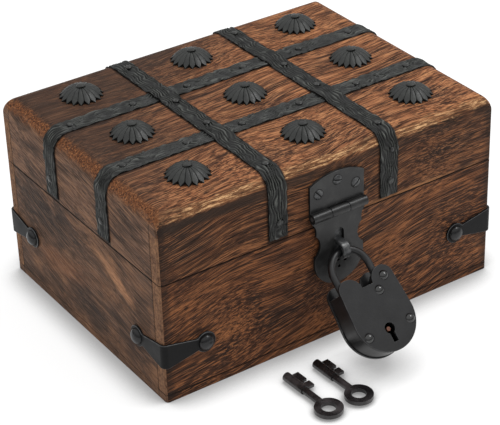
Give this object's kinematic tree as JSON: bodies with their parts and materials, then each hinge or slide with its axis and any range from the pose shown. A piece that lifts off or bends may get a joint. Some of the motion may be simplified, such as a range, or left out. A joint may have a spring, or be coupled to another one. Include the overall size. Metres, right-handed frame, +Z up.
{
  "type": "treasure chest box",
  "caption": "Small rectangular wooden chest with a hinged rounded-edge lid, crossed iron bands, rosette studs, corner brackets, hasp, padlock and keys.",
  "frame": {"origin": "centre of the chest's bottom face, on the surface it stands on", "axes": "+Z up, -Y out of the front face with the hasp, +X to the right when facing the front"},
  "size_m": [0.2112, 0.2167, 0.1126],
  "materials": {
    "dark_wood": "dark stained, brushed grain, satin",
    "band_iron": "blackened, embossed grain, satin",
    "black_iron": "blackened, smooth, satin"
  },
  "bodies": {
    "box": {"box_base": "dark_wood", "box_front": "dark_wood", "box_back": "dark_wood", "box_left": "dark_wood", "box_right": "dark_wood", "bracket_front_left": "black_iron", "bracket_front_right": "black_iron", "bracket_back_left": "black_iron", "bracket_back_right": "black_iron", "bracket_rivets": "black_iron", "staple": "black_iron", "hinge_left_box_leaf": "black_iron", "hinge_left_pin": "black_iron", "hinge_right_box_leaf": "black_iron", "hinge_right_pin": "black_iron"},
    "lid": {"lid_top": "dark_wood", "lid_front": "dark_wood", "lid_back": "dark_wood", "lid_left": "dark_wood", "lid_right": "dark_wood", "band_left": "band_iron", "band_right": "band_iron", "band_rear": "band_iron", "band_fore": "band_iron", "studs": "band_iron", "hasp_leaf": "black_iron", "hasp_pin": "black_iron", "hinge_left_lid_leaf": "black_iron", "hinge_right_lid_leaf": "black_iron"},
    "hasp": {"hasp_strap": "black_iron"},
    "shackle": {"lock_shackle": "black_iron"},
    "case": {"lock_back_plate": "black_iron", "lock_front_plate": "black_iron", "lock_rim": "black_iron", "lock_rivets": "black_iron", "lock_pivot": "black_iron", "lock_drill_pin": "black_iron"},
    "bolt": {"lock_bolt": "black_iron"},
    "key_1": {"key_1": "black_iron"},
    "key_2": {"key_2": "black_iron"}
  },
  "joints": [
    {"name": "lid_hinge", "type": "hinge", "parent": "box", "child": "lid", "pos_m": [0, 0.0787, 0.0681], "axis": [-1, 0, 0], "range_deg": [0, 110]},
    {"name": "hasp_hinge", "type": "hinge", "parent": "lid", "child": "hasp", "pos_m": [0.001, -0.0791, 0.075], "axis": [-1, 0, 0], "range_deg": [0, 165]},
    {"name": "padlock_swing", "type": "hinge", "parent": "box", "child": "shackle", "pos_m": [0.001, -0.0815, 0.05325], "axis": [-1, 0, 0], "range_deg": [-14, 75]},
    {"name": "lock_open", "type": "hinge", "parent": "shackle", "child": "case", "pos_m": [0.01231, -0.0955, 0.0383], "axis": [0, -0.7071, 0.7071], "range_deg": [0, 30]},
    {"name": "lock_bolt_slide", "type": "slide", "parent": "case", "child": "bolt", "axis": [-0.999, -0.0321, -0.0321], "range_m": [0, 0.002]},
    {"name": "key_1_lift", "type": "slide", "parent": "box", "child": "key_1", "axis": [0, 0, 1], "range_m": [0, 0.06]},
    {"name": "key_2_lift", "type": "slide", "parent": "box", "child": "key_2", "axis": [0, 0, 1], "range_m": [0, 0.06]}
  ],
  "couplings": [
    {"joint": "hasp_hinge", "follows": "lid_hinge", "ratio": 1.5}
  ]
}
